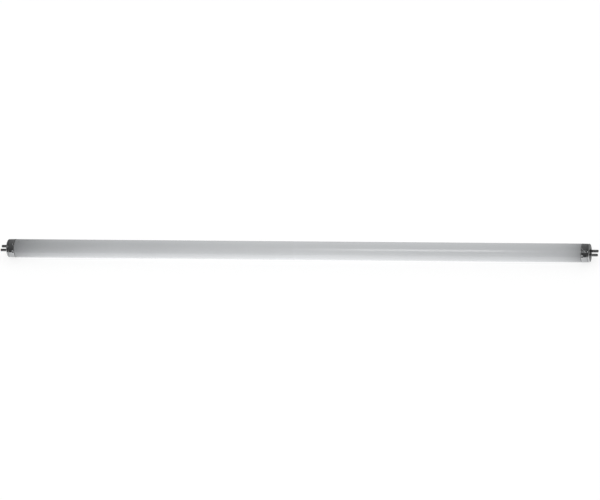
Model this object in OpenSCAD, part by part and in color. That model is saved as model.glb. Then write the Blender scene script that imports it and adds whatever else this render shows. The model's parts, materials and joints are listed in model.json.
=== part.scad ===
// Straight fluorescent tube, 16 mm glass, with a two-pin cap on each end.
// The axis lies along X, with the origin at its middle, and the pins of both
// ends lie side by side in the XY plane. Sizes are in millimetres.
// The pieces of one end are drawn with Z along the axis: z = 0 is the end
// face of the cap and z grows out of the lamp. at_end() puts them in place.

/* [Lamp] */
// Length between the end faces of the two caps
face_to_face = 516.9; // [130:0.1:600]
// Outer diameter of the glass
tube_d = 16; // [15:0.1:20]
// Wall of the glass tube and of the stem that closes it
glass_wall = 0.8; // [0.6:0.05:0.9]

/* [Cap] */
// Length of the cap, from its open edge to its end face
cap_len = 7; // [6.5:0.1:10]
// Sheet thickness of the cap
cap_wall = 0.3; // [0.2:0.05:0.4]
// Outer radius of the bend between skirt and end face
shoulder_r = 1.2; // [0.9:0.1:1.3]
// How far the bead at the open edge stands out
bead_rise = 0.12; // [0.05:0.01:0.2]
// Length of the bead along the skirt
bead_len = 0.7; // [0.5:0.1:1]
// Depth of the rolled groove that holds the insulator
groove_depth = 0.25; // [0.15:0.05:0.35]
// Width of the rolled groove
groove_w = 0.8; // [0.6:0.1:1]

/* [Crimps] */
// Number of crimp dents round the open edge of a cap
crimp_count = 8; // [4:1:10]
// Depth of a dent
crimp_depth = 0.32; // [0.15:0.01:0.36]
// Radius of the round punch that makes a dent
crimp_punch_r = 1.6; // [1:0.1:2]
// Distance from the open edge to the middle of a dent
crimp_inset = 0.9; // [0.6:0.1:1.2]

/* [Insulator] */
// Thickness of the insulating disc behind the end face
disc_t = 1; // [0.9:0.05:1.2]
// Radius of each round end of the boss that fills the cap's window
boss_r = 2.2; // [2:0.1:2.6]
// How far the boss stands out of the end face
boss_rise = 0.1; // [0.05:0.05:0.3]

/* [Pins] */
// Distance between the centres of the two pins
pin_pitch = 4.75; // [4.5:0.05:5]
// Diameter of a pin
pin_d = 2.36; // [2.2:0.02:2.6]
// How far the pins reach past the end face
pin_len = 6.6; // [6:0.1:7.6]
// Radius of the pin's rounded nose
nose_r = 0.7; // [0.3:0.05:0.9]
// Radius of the collar that seats a pin on the boss
collar_r = 1.6; // [1.4:0.05:1.8]
// Thickness of that collar
collar_t = 0.3; // [0.2:0.05:0.4]
// Rounding of the collar's outer edge
collar_edge_r = 0.1; // [0.05:0.05:0.15]
// Diameter of the shank in the insulator
shank_d = 1.8; // [1.6:0.05:2]
// Radius of the rivet head behind the insulator
rivet_r = 1.5; // [1.3:0.05:1.7]
// Thickness of the rivet head
rivet_t = 0.45; // [0.3:0.05:0.6]
// Diameter of the blind hole that takes the lead wire
wire_hole_d = 1.2; // [1:0.05:1.3]
// How far that hole runs past the end face
wire_hole_len = 1.8; // [1:0.1:2.4]

/* [Glass ends] */
// Cement between the cap's skirt and the neck of the glass
cement_gap = 0.5; // [0.4:0.05:0.8]
// Room between the insulator and the sealed edge of the glass
wire_room = 1.6; // [1.4:0.1:2]
// Length of the step from the tube down to its neck
step_len = 1; // [0.8:0.1:1.4]
// How much of that step shows outside the cap
step_lead = 0.6; // [0.6:0.05:0.8]
// Outer radius of the stem tube
stem_r = 3.4; // [3.2:0.1:3.8]
// Length of the flare that joins the stem to the neck
flare_len = 5; // [4:0.1:8]
// Depth of the pinch below the sealed edge
stem_len = 15; // [12:0.5:25]
// Length of the pinch
pinch_len = 6; // [4:0.5:8]
// Width of the pinch
pinch_w = 7.4; // [7:0.1:8]
// Thickness of the pinch
pinch_t = 2.6; // [2:0.1:3]
// Outer radius of the exhaust tube's stub
exhaust_r = 1; // [0.8:0.05:1.2]
// Radius of the bore that is melted shut in the stub
exhaust_bore_r = 0.5; // [0.3:0.05:0.6]
// Length of that stub above the pinch
exhaust_len = 11; // [6:0.5:11]

/* [Lead wires] */
// Diameter of a lead wire
wire_d = 0.5; // [0.4:0.05:0.6]
// Clear distance between a lead wire and the exhaust stub at the wire's foot
wire_gap = 0.15; // [0.1:0.05:0.3]
// Length of the solder that fixes a wire in its pin
solder_len = 0.8; // [0.4:0.1:1]

/* [Hidden] */
// Running clearance between pieces that seat in one another
fit_gap = 0.03;
// Overlap that makes a cut run clear of a face
over = 0.5;
// Steps in each quarter turn of a profile's arc
arc_steps = 6;
// Facets that a preview shows on round faces
$fn = 64;
// Facets that a preview shows on crimp punches and on small circles of a half section
fine_fn = 36;

tube_r = tube_d / 2;
cap_r = tube_r;
cap_bore_r = cap_r - cap_wall;
open_z = -cap_len;
disc_front_z = -cap_wall;
disc_back_z = disc_front_z - disc_t;
groove_r = (groove_w * groove_w / 4 + groove_depth * groove_depth) / (2 * groove_depth);
groove_centre_r = cap_r - groove_depth + groove_r;
groove_z = disc_back_z - sqrt(pow(groove_r + cap_wall, 2) - pow(groove_centre_r - cap_bore_r, 2));
neck_r = cap_bore_r - cement_gap;
neck_z = open_z - step_lead + step_len;
rim_z = disc_back_z - wire_room;
throat_r = stem_r - glass_wall;
stem_floor_z = rim_z - stem_len;
pin_r = pin_d / 2;
boss_top_z = boss_rise;
stud_z = boss_top_z + collar_t;
rivet_tail_z = disc_back_z - rivet_t;
crimp_z = open_z + crimp_inset;
wire_y = exhaust_r + wire_gap + wire_d / 2;
crimp_centre_r = cap_r - crimp_depth + crimp_punch_r;

// Points of an arc round centre c, from angle a0 to angle a1
function arc(c, r, a0, a1) =
    let (n = max(2, round(arc_steps * abs(a1 - a0) / 90)))
    [for (i = [0:n]) let (a = a0 + (a1 - a0) * i / n) [c[0] + r * cos(a), c[1] + r * sin(a)]];

// Points of a smooth step from p to q, which leaves and arrives along the axis
function smooth_step(p, q) =
    let (n = arc_steps)
    [for (i = [0:n]) let (t = i / n) [p[0] + (q[0] - p[0]) * (1 - cos(180 * t)) / 2,
                                      p[1] + (q[1] - p[1]) * t]];

// Points of a list in reverse order
function backwards(list) = [for (i = [len(list) - 1:-1:0]) list[i]];

// Puts a piece drawn along Z on the right end (side 1) or the left end (side -1)
module at_end(side) {
    rotate([0, 0, side > 0 ? 0 : 180])
        translate([face_to_face / 2, 0, 0])
            rotate([0, 90, 0])
                children();
}

// Puts a piece drawn round the pin at +Y on a pin: place is -1 in front, 1 behind
module at_pin(side, place) {
    at_end(side)
        rotate([0, 0, side * place > 0 ? 0 : 180])
            children();
}

// Outline with two round ends, long along Y
module racetrack(r, pitch) {
    for (s = [-1, 1])
        translate([0, s * pitch / 2])
            circle(r);
    square([2 * r, pitch], center = true);
}

// Balls on the crimp circle: the punch itself, or the punch grown by the sheet
module crimp_balls(extra) {
    for (i = [0:crimp_count - 1])
        rotate([0, 0, (i + 0.5) * 360 / crimp_count])
            translate([crimp_centre_r, 0, crimp_z])
                sphere(crimp_punch_r + extra, $fn = fine_fn);
}

// Half section of a round solid from z0 up to z1, with radius bend_r on its upper edge
module round_section(r, z0, z1, bend_r) {
    translate([0, z0])
        square([r, z1 - bend_r - z0]);
    translate([0, z0])
        square([r - bend_r, z1 - z0]);
    translate([r - bend_r, z1 - bend_r])
        intersection() {
            circle(bend_r, $fn = fine_fn);
            square(bend_r);
        }
}

// Half section of the cap at depth inset below its outer surface
module cap_section(inset) {
    r = cap_r - inset;
    foot_z = open_z - (inset > 0 ? over : 0);
    difference() {
        union() {
            round_section(r, foot_z, -inset, shoulder_r - inset);
            polygon(concat(
                [[0, foot_z], [r + bead_rise, foot_z]],
                backwards(smooth_step([r, open_z + bead_len], [r + bead_rise, open_z + bead_len / 2])),
                [[0, open_z + bead_len]]
            ));
        }
        translate([groove_centre_r, groove_z])
            circle(groove_r + inset, $fn = fine_fn);
    }
}

// Deep-drawn cup with a rolled groove, a beaded edge, crimps and a window
module cap_shell(side) {
    color("silver")
        at_end(side)
            difference() {
                rotate_extrude()
                    cap_section(0);
                difference() {
                    rotate_extrude()
                        cap_section(cap_wall);
                    crimp_balls(cap_wall);
                }
                crimp_balls(0);
                translate([0, 0, -cap_wall - over])
                    linear_extrude(cap_wall + 2 * over)
                        racetrack(boss_r + fit_gap, pin_pitch);
            }
}

// Moulded disc that fills the cap's end, with a boss that fills its window
module insulator(side) {
    color("dimgray")
        at_end(side)
            difference() {
                union() {
                    rotate_extrude()
                        round_section(cap_bore_r - fit_gap, disc_back_z, disc_front_z,
                                      shoulder_r - cap_wall);
                    translate([0, 0, disc_back_z])
                        linear_extrude(boss_top_z - disc_back_z)
                            racetrack(boss_r, pin_pitch);
                }
                for (s = [-1, 1])
                    translate([0, s * pin_pitch / 2, disc_back_z - over])
                        cylinder(h = boss_top_z - disc_back_z + 2 * over, d = shank_d + 2 * fit_gap);
            }
}

// Pin riveted through the insulator: collar, stud and round nose outside,
// shank and rivet head inside, with a blind hole for the lead wire
module contact_pin(side, place) {
    color("gainsboro")
        at_pin(side, place)
            translate([0, pin_pitch / 2, 0])
                rotate_extrude()
                    difference() {
                        union() {
                            round_section(pin_r, stud_z, pin_len, nose_r);
                            round_section(collar_r, boss_top_z, stud_z, collar_edge_r);
                            translate([0, disc_back_z])
                                square([shank_d / 2, boss_top_z - disc_back_z]);
                            mirror([0, 1])
                                round_section(rivet_r, -disc_back_z, -rivet_tail_z, rivet_t / 2);
                        }
                        translate([0, rivet_tail_z - over])
                            square([wire_hole_d / 2, wire_hole_len - rivet_tail_z + over]);
                    }
}

// Lead wire from the pinch up the stem, bent gently outwards to its pin, with the
// solder that fixes its end
module lead_wire(side, place) {
    foot_z = stem_floor_z + fit_gap;
    rise = wire_hole_len - solder_len / 2 - foot_z;
    drift = pin_pitch / 2 - wire_y;
    bend_r = (rise * rise + drift * drift) / (2 * drift);
    color("goldenrod")
        at_pin(side, place) {
            translate([0, wire_y + bend_r, foot_z])
                rotate([90, 0, -90])
                    rotate_extrude(angle = asin(rise / bend_r))
                        translate([bend_r, 0])
                            circle(d = wire_d);
            translate([0, pin_pitch / 2, wire_hole_len - solder_len])
                cylinder(h = solder_len, d = wire_hole_d - 2 * fit_gap);
        }
}

// Ring of cement that bonds the skirt to the neck of the glass
module cement(side) {
    color("ivory")
        at_end(side)
            difference() {
                rotate_extrude()
                    polygon([[neck_r + fit_gap, neck_z],
                             [cap_bore_r - fit_gap, neck_z],
                             [cap_bore_r - fit_gap, rim_z - glass_wall],
                             [neck_r + fit_gap, rim_z - glass_wall]]);
                crimp_balls(cap_wall + fit_gap);
            }
}

// Half section of the glass at one end, from the tube's wall to the axis.
// grow is 0 on the side of the air and glass_wall on the side of the gas.
function end_outline(grow) = concat(
    smooth_step([tube_r - grow, neck_z - step_len], [neck_r - grow, neck_z]),
    grow == 0 ? arc([neck_r - glass_wall, rim_z - glass_wall], glass_wall, 0, 180) : [],
    backwards(smooth_step([throat_r + grow, rim_z - flare_len],
                          [neck_r - 2 * glass_wall + grow, rim_z - glass_wall - grow])),
    [[throat_r + grow, stem_floor_z - grow], [0, stem_floor_z - grow]]
);

// The same outline on both ends, from the left end of the axis to the right
function both_ends(points) = concat(
    [for (p = backwards(points)) [p[0], -face_to_face / 2 - p[1]]],
    [for (p = points) [p[0], face_to_face / 2 + p[1]]]
);

// Flat press that closes the stem and grips the lead wires
module pinch() {
    top_z = stem_floor_z - glass_wall / 2;
    foot_z = top_z - pinch_len;
    intersection() {
        translate([0, 0, foot_z])
            cylinder(h = pinch_len, r = pinch_w / 2);
        translate([-pinch_w / 2, 0, 0])
            rotate([90, 0, 90])
                linear_extrude(pinch_w)
                    polygon([[-pinch_w / 2, foot_z], [pinch_w / 2, foot_z],
                             [stem_r, top_z], [-stem_r, top_z]]);
        translate([0, pinch_w / 2, 0])
            rotate([90, 0, 0])
                linear_extrude(pinch_w)
                    polygon([[-pinch_t / 2, foot_z], [pinch_t / 2, foot_z],
                             [pinch_t / 2, foot_z + pinch_len / 2], [stem_r, top_z],
                             [-stem_r, top_z], [-pinch_t / 2, foot_z + pinch_len / 2]]);
    }
}

// Stub of the tube through which the lamp was filled
module exhaust_stub() {
    rotate_extrude()
        polygon(concat(
            [[0, stem_floor_z - glass_wall / 2], [exhaust_r, stem_floor_z - glass_wall / 2]],
            arc([0, stem_floor_z + exhaust_len - exhaust_r], exhaust_r, 0, 90)
        ));
}

// Bore of the stub, open to the gas and melted shut near its tip
module exhaust_bore() {
    foot_z = stem_floor_z - glass_wall / 2 - pinch_len - over;
    translate([0, 0, foot_z])
        cylinder(h = stem_floor_z + exhaust_len - 2 * exhaust_r - foot_z, r = exhaust_bore_r);
}

// Sealed glass tube, with a stepped neck, a flared stem and a pinch at each end
module discharge_tube() {
    color("whitesmoke")
        difference() {
            union() {
                rotate([0, 90, 0])
                    rotate_extrude()
                        polygon(concat(both_ends(end_outline(0)),
                                       backwards(both_ends(end_outline(glass_wall)))));
                for (side = [-1, 1])
                    at_end(side) {
                        pinch();
                        exhaust_stub();
                    }
            }
            for (side = [-1, 1])
                at_end(side)
                    exhaust_bore();
        }
}

discharge_tube();
cap_shell(-1);  // cap_shell_left
cap_shell(1);  // cap_shell_right
insulator(-1);  // insulator_left
insulator(1);  // insulator_right
cement(-1);  // cement_left
cement(1);  // cement_right
contact_pin(-1, -1);  // contact_pin_left_front
contact_pin(-1, 1);  // contact_pin_left_back
contact_pin(1, -1);  // contact_pin_right_front
contact_pin(1, 1);  // contact_pin_right_back
lead_wire(-1, -1);  // lead_wire_left_front
lead_wire(-1, 1);  // lead_wire_left_back
lead_wire(1, -1);  // lead_wire_right_front
lead_wire(1, 1);  // lead_wire_right_back
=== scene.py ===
"""Looks of a straight fluorescent tube that lies on a pale floor. Lengths are in metres."""

import json
import math

import bpy
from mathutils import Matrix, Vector


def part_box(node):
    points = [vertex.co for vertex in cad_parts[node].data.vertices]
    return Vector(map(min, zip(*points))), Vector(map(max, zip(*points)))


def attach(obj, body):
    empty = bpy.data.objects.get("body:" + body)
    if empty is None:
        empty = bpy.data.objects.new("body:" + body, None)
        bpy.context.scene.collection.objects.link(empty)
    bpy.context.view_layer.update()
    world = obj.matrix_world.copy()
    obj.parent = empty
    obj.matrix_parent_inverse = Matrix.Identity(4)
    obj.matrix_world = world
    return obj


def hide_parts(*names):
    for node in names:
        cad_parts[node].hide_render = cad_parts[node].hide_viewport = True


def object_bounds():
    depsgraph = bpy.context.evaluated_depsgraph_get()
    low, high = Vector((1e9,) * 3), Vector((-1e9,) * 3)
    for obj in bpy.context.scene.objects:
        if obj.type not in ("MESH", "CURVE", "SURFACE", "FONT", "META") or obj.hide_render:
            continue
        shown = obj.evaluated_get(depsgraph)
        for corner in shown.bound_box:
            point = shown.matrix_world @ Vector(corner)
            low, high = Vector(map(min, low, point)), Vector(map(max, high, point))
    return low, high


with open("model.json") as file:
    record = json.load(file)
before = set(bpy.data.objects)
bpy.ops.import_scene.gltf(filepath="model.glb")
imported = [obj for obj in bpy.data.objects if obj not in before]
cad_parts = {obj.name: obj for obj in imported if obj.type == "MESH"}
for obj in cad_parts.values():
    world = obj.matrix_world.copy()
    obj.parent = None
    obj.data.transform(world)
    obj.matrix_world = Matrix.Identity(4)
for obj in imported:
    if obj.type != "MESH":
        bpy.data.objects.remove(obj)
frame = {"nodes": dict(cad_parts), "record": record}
cad_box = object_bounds()

MM = 0.001
ENDS = {"left": -1, "right": 1}

# Sizes read from the frame
glass_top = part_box("discharge_tube")[1]
cap_lo, cap_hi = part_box("cap_shell_right")
FACE_X = cap_hi.x
CAP_EDGE_X = cap_lo.x
GLASS_R = glass_top.z
FLOOR_Z = cad_box[0].z

# Cap, as in the solids but with soft edges. Depths are measured from its end face.
BEAD_R = cap_hi.z
CAP_LEN = FACE_X - CAP_EDGE_X
CAP_R = GLASS_R
SHEET = 0.3 * MM
SHOULDER_R = 1.2 * MM
GROOVE_AT = 1.857 * MM
GROOVE_HALF = 0.55 * MM
GROOVE_DEPTH = 0.25 * MM
BEAD_FOOT = 0.75 * MM
BEAD_TOP = 0.35 * MM
WINDOW_R = 2.23 * MM
PIN_Y = 2.375 * MM
WINDOW_EDGE = 0.06 * MM
CRIMPS = 8
CRIMP_INSET = 0.9 * MM
CRIMP_DEPTH = 0.32 * MM
PUNCH_R = 1.6 * MM
CRIMP_SOFT = 0.05 * MM
RIM_RISE = 0.025 * MM
RIM_WIDTH = 0.25 * MM

# Steps of the cap's mesh: round the axis, and along each stretch of its section
CAP_TURNS = 320
WINDOW_STEPS = 3
FACE_STEPS = 6
SHOULDER_STEPS = 14
INNER_SHOULDER_STEPS = 10
SKIRT_STEPS = 52
ROLL_STEPS = 8

# Coated glass: reach of the grey at the ends, and its depth at the left and the right end. The
# grey is partly the coat's own greying and partly painted shade where the light falls off towards
# the ends
END_GREYS_AND_SHADE = ((12 * MM, 0.2, 0.4), (90 * MM, 0.47, 0.16))

# Plain print marks near the left end. Angles are in degrees round the axis from the front.
RULE = {"x0": -245.9 * MM, "x1": -232.0 * MM, "angle": 104.4, "half_width": 0.14 * MM}
SPOTS = ({"x": -247.4 * MM, "angle": 88.4, "radius": 0.4 * MM},
         {"x": -232.6 * MM, "angle": 89.4, "radius": 0.3 * MM})
MARK_SOFT = 0.4

# Camera: the photograph's viewing angle, seen through a long lens
PHOTO_W = 600
PHOTO_H = 500
AZIMUTH = math.radians(18.48)
ELEVATION = math.radians(43.28)
ROLL = math.radians(-12.42)
DISTANCE = 3.8026
PX_PER_M = 1157.4
ORIGIN_PX = (294.96, 250.56)
SENSOR_MM = 36
CLIP = (0.1, 50)

# Floor: its size, how white it looks unlit, how much of that white the light adds, and
# the light it throws up at the left and the right end of the lamp
FLOOR_SIZE = 24.0
FLOOR_WHITE = 0.775
FLOOR_SHADE = 0.28
FLOOR_BOUNCE = (1.75, 1.3)

# World: its light on the lamp from the front and from the back
WORLD_LIGHT = (0.48, 1.1)

# Dark room and cards that only reflections see
ROOM_R = 3.0
ROOM_RINGS = 12
ROOM_TURNS = 32
ROOM_LEVELS = (0.07, 0.22)
CARD_W = 3.0
CARD_D = 1.5
CARD_Z = FLOOR_Z + 0.2 * MM
BACK_CARD_GAP = -4 * MM
BACK_CARD_LEVEL = 0.28
FRONT_CARD_GAP = 64 * MM
FRONT_CARD_LEVEL = 0.08

# Softbox: width along the lamp, height, elevation in degrees, distance, shift along X, watts
SOFTBOX = {"width": 0.2, "height": 0.6, "elevation": 60, "distance": 1.5, "side": -0.2,
           "power": 1.8}


def grey(level, tint=0.0):
    """Near-neutral colour of a linear level, a little bluer for a tint above 0."""
    return (level * (1 - tint), level, level * (1 + tint), 1.0)


class Finish:
    """A node material round one Principled shader, with short calls for the nodes that feed it."""

    def __init__(self, name, **sockets):
        self.material = bpy.data.materials.new(name)
        self.material.use_nodes = True
        self.nodes = self.material.node_tree.nodes
        self.links = self.material.node_tree.links
        self.shader = self.nodes["Principled BSDF"]
        self.place = self.nodes.new("ShaderNodeTexCoord").outputs["Object"]
        split = self.nodes.new("ShaderNodeSeparateXYZ")
        self.links.new(self.place, split.inputs[0])
        self.x, self.y, self.z = split.outputs
        self.set(**sockets)

    def set(self, **sockets):
        """Sets or links sockets of the shader. An underscore in a name stands for a space."""
        for name, value in sockets.items():
            self.feed(self.shader.inputs[name.replace("_", " ")], value)

    def feed(self, socket, value):
        """Links a socket to another one, or sets its value."""
        if isinstance(value, bpy.types.NodeSocket):
            self.links.new(value, socket)
        else:
            socket.default_value = value

    def math(self, operation, a, b=0.0, c=0.0):
        """One Math node on up to three values."""
        node = self.nodes.new("ShaderNodeMath")
        node.operation = operation
        for socket, value in zip(node.inputs, (a, b, c)):
            self.feed(socket, value)
        return node.outputs[0]

    def noise(self, size, detail=3.0, stretch=(1, 1, 1), seed=0.0):
        """Noise from 0 to 1 whose blotches are about size metres across."""
        mapping = self.nodes.new("ShaderNodeMapping")
        self.feed(mapping.inputs["Vector"], self.place)
        mapping.inputs["Location"].default_value = (seed, seed, seed)
        mapping.inputs["Scale"].default_value = [1 / (size * s) for s in stretch]
        node = self.nodes.new("ShaderNodeTexNoise")
        self.feed(node.inputs["Vector"], mapping.outputs[0])
        node.inputs["Scale"].default_value = 1.0
        node.inputs["Detail"].default_value = detail
        return node.outputs["Fac"]

    def window(self, value, low, high, soft):
        """1 where value lies between low and high, fading to 0 over soft outside them."""
        rise = self.nodes.new("ShaderNodeMapRange")
        fall = self.nodes.new("ShaderNodeMapRange")
        for node, inner, outer in ((rise, low, low - soft), (fall, high, high + soft)):
            node.interpolation_type = "SMOOTHSTEP"
            self.feed(node.inputs["Value"], value)
            node.inputs["From Min"].default_value = outer
            node.inputs["From Max"].default_value = inner
        return self.math("MULTIPLY", rise.outputs[0], fall.outputs[0])

    def stroke(self, turn, x0, x1, angle, half_width):
        """1 on a printed stroke along the tube from x0 to x1."""
        soft = half_width * MARK_SOFT
        along = self.window(self.x, x0 - half_width, x1 + half_width, soft)
        round_about = math.radians(angle)
        half_turn, soft_turn = half_width / GLASS_R, soft / GLASS_R
        across = self.window(turn, round_about - half_turn, round_about + half_turn, soft_turn)
        return self.math("MULTIPLY", along, across)

    def spot(self, turn, x, angle, radius):
        """1 on a round printed spot at x along the tube."""
        along = self.math("SUBTRACT", self.x, x)
        off = self.math("SUBTRACT", turn, math.radians(angle))
        across = self.math("MULTIPLY", off, GLASS_R)
        square = self.math("MULTIPLY_ADD", along, along, self.math("MULTIPLY", across, across))
        return self.window(self.math("SQRT", square), 0.0, radius, radius * MARK_SOFT)

    def scale(self, value, low, high):
        """Maps 0..1 to low..high."""
        node = self.nodes.new("ShaderNodeMapRange")
        self.feed(node.inputs["Value"], value)
        node.inputs["To Min"].default_value = low
        node.inputs["To Max"].default_value = high
        return node.outputs[0]

    def sway(self, value, amount, onto):
        """Adds a noise, centred on 0 and amount high, onto another value."""
        return self.math("MULTIPLY_ADD", self.math("SUBTRACT", value, 0.5), amount, onto)

    def mix(self, factor, a, b):
        """Colour a where factor is 0 and colour b where it is 1."""
        node = self.nodes.new("ShaderNodeMix")
        node.data_type = "RGBA"
        self.feed(node.inputs["Factor"], factor)
        self.feed(node.inputs["A"], a)
        self.feed(node.inputs["B"], b)
        return node.outputs["Result"]

    def bump(self, height, depth, strength, under=None):
        """Bump of the given depth in metres, over another bump if there is one."""
        node = self.nodes.new("ShaderNodeBump")
        node.inputs["Strength"].default_value = strength
        node.inputs["Distance"].default_value = depth
        self.feed(node.inputs["Height"], height)
        if under is not None:
            self.feed(node.inputs["Normal"], under)
        return node.outputs[0]


def coated_glass():
    """Clear glass over white powder, greyer towards the ends (partly the coat's own greying,
    partly painted shade), with plain print marks.
    """
    f = Finish("coated_glass", Metallic=0.0, IOR=1.5)
    powder = f.noise(size=2.2 * MM, detail=5, seed=3.1)
    cloud = f.noise(size=26 * MM, detail=2, stretch=(2.5, 1, 1), seed=7.7)
    smudge = f.noise(size=9 * MM, detail=4, stretch=(3, 1, 1), seed=1.3)
    drawn = f.noise(size=14 * MM, detail=2, stretch=(6, 1, 1), seed=5.0)

    # Grey towards the ends: partly the coat's own greying, partly painted shade where the light
    # falls off
    from_cap = f.math("SUBTRACT", CAP_EDGE_X, f.math("ABSOLUTE", f.x))
    right = f.math("GREATER_THAN", f.x, 0.0)
    tone = 0.0
    for reach, left_depth, right_depth in END_GREYS_AND_SHADE:
        fade = f.math("EXPONENT", f.math("MULTIPLY", from_cap, -1 / reach))
        depth = f.scale(right, low=left_depth, high=right_depth)
        tone = f.math("MULTIPLY_ADD", fade, depth, tone)
    tone = f.sway(cloud, amount=0.12, onto=tone)
    tone = f.sway(powder, amount=0.04, onto=tone)
    coat = f.mix(tone, grey(level=0.66, tint=0.02), grey(level=0.03, tint=0.12))

    turn = f.math("ARCTAN2", f.z, f.math("MULTIPLY", f.y, -1.0))
    marks = f.stroke(turn, **RULE)
    for spot in SPOTS:
        marks = f.math("MAXIMUM", marks, f.spot(turn, **spot))
    ink = f.math("MULTIPLY", marks, f.scale(powder, low=0.3, high=0.75))
    f.set(Base_Color=f.mix(ink, coat, grey(level=0.16, tint=0.03)),
          Roughness=f.scale(smudge, low=0.08, high=0.22),
          Normal=f.bump(drawn, depth=0.02 * MM, strength=0.5))
    return f.material


def cap_metal():
    """Drawn aluminium: rings from the drawing die, dull blotches, painted shade in the rolled
    groove and a painted highlight on the shoulder and the bead.
    """
    f = Finish("cap_metal", Metallic=1.0)
    blotch = f.noise(size=2.4 * MM, detail=4, seed=2.0)
    scuff = f.noise(size=1.1 * MM, detail=5, stretch=(1, 3, 3), seed=9.0)
    rings = f.noise(size=0.09 * MM, detail=2, stretch=(1, 60, 60), seed=4.0)

    base = f.mix(blotch, grey(level=0.36, tint=0.02), grey(level=0.54, tint=0.02))
    depth = f.math("SUBTRACT", FACE_X, f.math("ABSOLUTE", f.x))
    # Painted shade: the metal is darker in the rolled groove
    groove = f.window(depth, low=1.6 * MM, high=2.1 * MM, soft=0.25 * MM)
    base = f.mix(f.math("MULTIPLY", groove, 0.45), base, grey(level=0.12))
    # Painted highlight: brighter metal on the shoulder and on the bead at the open edge
    shoulder = f.window(depth, low=0.15 * MM, high=0.7 * MM, soft=0.2 * MM)
    bead = f.window(depth, low=6.3 * MM, high=7.1 * MM, soft=0.15 * MM)
    painted_highlight = f.math("ADD", shoulder, bead)
    base = f.mix(f.math("MULTIPLY", painted_highlight, 0.5), base, grey(level=0.66, tint=0.01))

    dents = f.bump(blotch, depth=0.03 * MM, strength=0.5)
    f.set(Base_Color=base,
          Roughness=f.scale(scuff, low=0.08, high=0.18),
          Normal=f.bump(rings, depth=0.0016 * MM, strength=0.6, under=dents))
    return f.material


def insulation():
    """Dull dark moulding with a fine grain and a little dust."""
    f = Finish("insulation", Metallic=0.0, IOR=1.5)
    dust = f.noise(size=1.2 * MM, detail=5, seed=6.0)
    grain = f.noise(size=0.16 * MM, detail=3, seed=8.0)
    f.set(Base_Color=f.mix(dust, grey(level=0.012), grey(level=0.045, tint=0.02)),
          Roughness=f.scale(dust, low=0.42, high=0.66),
          Normal=f.bump(grain, depth=0.02 * MM, strength=0.5))
    return f.material


def pin_metal():
    """Dull nickel plate, tarnished in patches, with fine scratches along the pin."""
    f = Finish("pin_metal", Metallic=1.0)
    tarnish = f.noise(size=0.9 * MM, detail=4, seed=11.0)
    scratches = f.noise(size=0.12 * MM, detail=3, stretch=(16, 1, 1), seed=12.0)
    f.set(Base_Color=f.mix(tarnish, grey(level=0.16, tint=0.01), grey(level=0.34, tint=0.01)),
          Roughness=f.scale(scratches, low=0.28, high=0.5),
          Normal=f.bump(scratches, depth=0.006 * MM, strength=0.6))
    return f.material


def basing_cement():
    """Chalky cement."""
    f = Finish("basing_cement", Metallic=0.0)
    lumps = f.noise(size=0.7 * MM, detail=5, seed=13.0)
    f.set(Base_Color=f.mix(lumps, (0.5, 0.46, 0.38, 1), (0.66, 0.62, 0.54, 1)),
          Roughness=f.scale(lumps, low=0.8, high=0.95),
          Normal=f.bump(lumps, depth=0.08 * MM, strength=0.7))
    return f.material


def lead_wire():
    """Nickel wire with a tarnished skin."""
    f = Finish("lead_wire", Metallic=1.0)
    skin = f.noise(size=0.5 * MM, detail=4, stretch=(4, 1, 1), seed=14.0)
    f.set(Base_Color=f.mix(skin, (0.42, 0.33, 0.22, 1), (0.62, 0.5, 0.34, 1)),
          Roughness=f.scale(skin, low=0.3, high=0.5),
          Normal=f.bump(skin, depth=0.01 * MM, strength=0.5))
    return f.material


def wear(obj, material):
    """Gives a piece its finish."""
    obj.data.materials.clear()
    obj.data.materials.append(material)


def dress_cad_nodes():
    """Gives every node of the frame the finish of its slot, and returns the finishes."""
    finishes = {make.__name__: make() for make in
                (coated_glass, cap_metal, insulation, pin_metal, basing_cement, lead_wire)}
    for part in frame["record"]["subparts"]:
        slot = part["material_slot"]
        wear(frame["nodes"][part["node"]], finishes[slot])
    return finishes


def new_object(name, vertices, faces):
    """Puts a mesh object in the scene."""
    mesh = bpy.data.meshes.new(name)
    mesh.from_pydata(vertices, [], faces)
    obj = bpy.data.objects.new(name, mesh)
    bpy.context.scene.collection.objects.link(obj)
    return obj


def window_reach(angle):
    """Distance from the axis to the edge of the racetrack window, at an angle from +Y."""
    across, along = abs(math.sin(angle)), abs(math.cos(angle))
    if across * PIN_Y >= along * WINDOW_R:
        return WINDOW_R / across
    return along * PIN_Y + math.sqrt(WINDOW_R ** 2 - (across * PIN_Y) ** 2)


def crimp_drop(depth, angle):
    """How far the sheet is pressed in at a point of the skirt, less the rim beside a dent."""
    step = math.tau / CRIMPS
    off = (angle % step) - step / 2
    away = math.hypot(off * CAP_R, depth - (CAP_LEN - CRIMP_INSET))
    rest = PUNCH_R - CRIMP_DEPTH
    reach = math.sqrt(PUNCH_R ** 2 - rest ** 2)
    if away < reach:
        bowl = math.sqrt(PUNCH_R ** 2 - away ** 2) - rest
    else:
        bowl = (reach - away) * reach / rest
    pressed = (bowl + math.hypot(bowl, CRIMP_SOFT)) / 2
    rim = RIM_RISE * math.exp(-((away - reach - RIM_WIDTH) / RIM_WIDTH) ** 2)
    return pressed - rim


def skirt_radius(depth):
    """Outer radius of the skirt: plain, with the rolled groove and the bead."""
    radius = CAP_R
    off = abs(depth - GROOVE_AT) / GROOVE_HALF
    if off < 1:
        radius -= GROOVE_DEPTH * (1 + math.cos(math.pi * off)) / 2
    rise = (depth - (CAP_LEN - BEAD_FOOT)) / (BEAD_FOOT - BEAD_TOP)
    if rise > 0:
        radius += (BEAD_R - CAP_R) * (1 - math.cos(math.pi * min(rise, 1))) / 2
    return radius


def arc_rings(depth, share, radius, bend, start, stop, steps, pressed=False):
    """Rings along an arc of the sheet's section, from start to stop in degrees."""
    for i in range(steps + 1):
        a = math.radians(start + (stop - start) * i / steps)
        yield (depth - bend * math.sin(a), share, radius + bend * math.cos(a), pressed)


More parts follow.
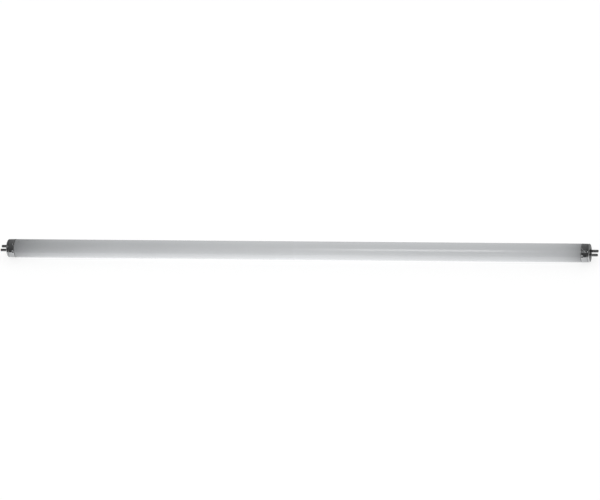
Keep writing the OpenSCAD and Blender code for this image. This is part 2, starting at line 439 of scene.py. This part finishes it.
def skirt_rings(inset):
    """Rings from the shoulder to the open edge, inset from the skirt's outside."""
    stop = CAP_LEN - SHEET / 2
    depths = [SHOULDER_R + (stop - SHOULDER_R) * i / SKIRT_STEPS for i in range(1, SKIRT_STEPS)]
    return [(depth, 0.0, skirt_radius(depth) - inset, True) for depth in depths]


def face_rings(depth):
    """Rings from the window to the shoulder, on one side of the end face."""
    flat = CAP_R - SHOULDER_R
    outward = [i / FACE_STEPS for i in range(1, FACE_STEPS)]
    return [(depth, 1 - t, WINDOW_EDGE * (1 - t) + flat * t, False) for t in outward]


def cap_rings():
    """Rings of the cap's sheet in order, each as depth, share of the window's reach, radius
    to add, and whether the crimps press it in."""
    edge = WINDOW_EDGE
    flat = CAP_R - SHOULDER_R
    rings = list(arc_rings(edge, 1.0, edge, edge, 180, 90, WINDOW_STEPS))
    rings += face_rings(0.0)
    rings += arc_rings(SHOULDER_R, 0.0, flat, SHOULDER_R, 90, 0, SHOULDER_STEPS)
    rings += skirt_rings(0.0)
    rings += arc_rings(CAP_LEN - SHEET / 2, 0.0, BEAD_R - SHEET / 2, SHEET / 2, 0, -180,
                       ROLL_STEPS, pressed=True)
    rings += reversed(skirt_rings(SHEET))
    rings += arc_rings(SHOULDER_R, 0.0, flat, SHOULDER_R - SHEET, 0, 90, INNER_SHOULDER_STEPS)
    rings += reversed(face_rings(SHEET))
    rings += arc_rings(SHEET - edge, 1.0, edge, edge, -90, -180, WINDOW_STEPS)
    return rings


def make_cap(end, side, finish):
    """Cap of drawn sheet with soft crimps, in place of the plainer solid."""
    rings = cap_rings()
    angles = [math.tau * j / CAP_TURNS for j in range(CAP_TURNS)]
    reaches = [window_reach(a) for a in angles]
    vertices = []
    for depth, share, radius, pressed in rings:
        for angle, reach in zip(angles, reaches):
            r = share * reach + radius
            if pressed:
                r = min(r - crimp_drop(depth, angle), BEAD_R)
            vertices.append((side * (FACE_X - depth), r * math.cos(angle), r * math.sin(angle)))
    faces = []
    for i in range(len(rings)):
        a, b = i * CAP_TURNS, (i + 1) % len(rings) * CAP_TURNS
        for j in range(CAP_TURNS):
            k = (j + 1) % CAP_TURNS
            face = (a + j, a + k, b + k, b + j)
            faces.append(face if side < 0 else face[::-1])
    cap = new_object(f"cap_{end}", vertices, faces)
    cap.data.shade_smooth()
    wear(cap, finish)
    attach(cap, "root")
    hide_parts(f"cap_shell_{end}")


def empty_graph(owner):
    """Nodes and links of a material or world, cleared."""
    owner.use_nodes = True
    owner.node_tree.nodes.clear()
    return owner.node_tree.nodes, owner.node_tree.links


def seen_mask(nodes, links):
    """1 for the rays that should see the white surroundings: camera, glossy and transmission."""
    path = nodes.new("ShaderNodeLightPath")
    total = path.outputs["Is Camera Ray"]
    for name in ("Is Glossy Ray", "Is Transmission Ray"):
        node = nodes.new("ShaderNodeMath")
        node.operation = "MAXIMUM"
        links.new(total, node.inputs[0])
        links.new(path.outputs[name], node.inputs[1])
        total = node.outputs[0]
    return total


def ramp(nodes, links, coordinates, axis, span, levels):
    """A level that runs from levels[0] at -span to levels[1] at +span on one axis."""
    place = nodes.new("ShaderNodeTexCoord")
    split = nodes.new("ShaderNodeSeparateXYZ")
    links.new(place.outputs[coordinates], split.inputs[0])
    level = nodes.new("ShaderNodeMapRange")
    links.new(split.outputs[axis], level.inputs["Value"])
    level.inputs["From Min"].default_value = -span
    level.inputs["From Max"].default_value = span
    level.inputs["To Min"].default_value = levels[0]
    level.inputs["To Max"].default_value = levels[1]
    return level.outputs[0]


def choose(nodes, links, unseen, seen, output):
    """Sends one shader to the rays of seen_mask and another to the rest."""
    pick = nodes.new("ShaderNodeMixShader")
    links.new(seen_mask(nodes, links), pick.inputs[0])
    links.new(unseen.outputs[0], pick.inputs[1])
    links.new(seen.outputs[0], pick.inputs[2])
    links.new(pick.outputs[0], nodes.new(output).inputs["Surface"])


def plane(name, width, depth, centre):
    """A level rectangle round centre, with its width along X."""
    x = Vector((width / 2, 0, 0))
    y = Vector((0, depth / 2, 0))
    c = Vector(centre)
    return new_object(name, [c - x - y, c + x - y, c + x + y, c - x + y], [(0, 1, 2, 3)])


def make_floor():
    """Pale floor: white where it is seen, with part of that white left for the soft shadow."""
    floor = plane("floor", FLOOR_SIZE, FLOOR_SIZE, (0, 0, FLOOR_Z))
    material = bpy.data.materials.new("floor")
    nodes, links = empty_graph(material)
    bounce = nodes.new("ShaderNodeEmission")
    level = ramp(nodes, links, "Object", "X", FACE_X, FLOOR_BOUNCE)
    links.new(level, bounce.inputs["Strength"])
    shade = nodes.new("ShaderNodeBsdfDiffuse")
    shade.inputs["Color"].default_value = grey(FLOOR_SHADE)
    glow = nodes.new("ShaderNodeEmission")
    glow.inputs["Strength"].default_value = FLOOR_WHITE
    shown = nodes.new("ShaderNodeAddShader")
    links.new(shade.outputs[0], shown.inputs[0])
    links.new(glow.outputs[0], shown.inputs[1])
    choose(nodes, links, bounce, shown, "ShaderNodeOutputMaterial")
    floor.data.materials.append(material)


def make_world():
    """Plain light from all round, weaker from the front, and white where it is seen."""
    world = bpy.data.worlds.new("surroundings")
    bpy.context.scene.world = world
    nodes, links = empty_graph(world)
    light = nodes.new("ShaderNodeBackground")
    white = nodes.new("ShaderNodeBackground")
    for background in (light, white):
        background.inputs["Color"].default_value = grey(1.0)
    level = ramp(nodes, links, "Generated", "Y", 1, WORLD_LIGHT)
    links.new(level, light.inputs["Strength"])
    choose(nodes, links, light, white, "ShaderNodeOutputWorld")


def stage_for_reflections(obj, levels, span=1.0):
    """Stages an object that glows for reflections alone, from levels[0] to levels[1] on Y."""
    material = bpy.data.materials.new(obj.name)
    nodes, links = empty_graph(material)
    glow = nodes.new("ShaderNodeEmission")
    links.new(ramp(nodes, links, "Object", "Y", span, levels), glow.inputs["Strength"])
    out = nodes.new("ShaderNodeOutputMaterial")
    links.new(glow.outputs[0], out.inputs["Surface"])
    obj.data.materials.append(material)
    obj.visible_camera = False
    obj.visible_diffuse = False
    obj.visible_transmission = False
    obj.visible_shadow = False


def make_card(name, y, level):
    """A card of a given radiance, flat on the floor round y, that only reflections see."""
    stage_for_reflections(plane(name, CARD_W, CARD_D, (0, y, CARD_Z)), (level, level))


def make_room():
    """Dark studio that only reflections see: a dome, darkest at the front."""
    vertices, faces = [], []
    for i in range(ROOM_RINGS + 1):
        rise = math.radians(90 * i / ROOM_RINGS)
        for j in range(ROOM_TURNS):
            turn = math.tau * j / ROOM_TURNS
            vertices.append((ROOM_R * math.cos(rise) * math.cos(turn),
                             ROOM_R * math.cos(rise) * math.sin(turn),
                             FLOOR_Z + ROOM_R * math.sin(rise)))
    for i in range(ROOM_RINGS):
        a, b = i * ROOM_TURNS, (i + 1) * ROOM_TURNS
        for j in range(ROOM_TURNS):
            k = (j + 1) % ROOM_TURNS
            faces.append((a + j, a + k, b + k, b + j))
    stage_for_reflections(new_object("dark_room", vertices, faces), ROOM_LEVELS, ROOM_R)


def make_softbox(width, height, elevation, distance, side, power):
    """Softbox in front of the lamp, square to its axis."""
    e = math.radians(elevation)
    data = bpy.data.lights.new("softbox", "AREA")
    data.shape = "RECTANGLE"
    data.size, data.size_y = width, height
    data.energy = power
    light = bpy.data.objects.new("softbox", data)
    bpy.context.scene.collection.objects.link(light)
    light.location = (side, -distance * math.cos(e), distance * math.sin(e))
    facing = Vector((0, math.cos(e), -math.sin(e)))
    light.rotation_mode = "QUATERNION"
    light.rotation_quaternion = facing.to_track_quat("-Z", "Y")


def make_camera():
    """Camera at the photograph's angle, framed so that the origin falls on ORIGIN_PX."""
    back = Vector((math.sin(AZIMUTH) * math.cos(ELEVATION),
                   -math.cos(AZIMUTH) * math.cos(ELEVATION), math.sin(ELEVATION)))
    right = Vector((math.cos(AZIMUTH), math.sin(AZIMUTH), 0))
    up = back.cross(right)
    right, up = (right * math.cos(ROLL) + up * math.sin(ROLL),
                 up * math.cos(ROLL) - right * math.sin(ROLL))
    data = bpy.data.cameras.new("camera")
    data.sensor_fit = "HORIZONTAL"
    data.sensor_width = SENSOR_MM
    data.lens = PX_PER_M * DISTANCE / PHOTO_W * SENSOR_MM
    data.clip_start, data.clip_end = CLIP
    camera = bpy.data.objects.new("camera", data)
    bpy.context.scene.collection.objects.link(camera)
    aim = (right * (PHOTO_W / 2 - ORIGIN_PX[0]) + up * (ORIGIN_PX[1] - PHOTO_H / 2)) / PX_PER_M
    camera.location = aim + back * DISTANCE
    turn = camera.matrix_world.to_3x3()
    turn.col[0], turn.col[1], turn.col[2] = right, up, back
    camera.rotation_mode = "QUATERNION"
    camera.rotation_quaternion = turn.to_quaternion()
    bpy.context.scene.camera = camera


bpy.context.scene.view_settings.view_transform = "Standard"
make_camera()
finishes = dress_cad_nodes()
for end, side in ENDS.items():
    make_cap(end, side, finishes["cap_metal"])
make_floor()
make_world()
make_room()
make_card("back_card", CARD_D / 2 + BACK_CARD_GAP, BACK_CARD_LEVEL)
make_card("front_card", -CARD_D / 2 - FRONT_CARD_GAP, FRONT_CARD_LEVEL)
make_softbox(**SOFTBOX)
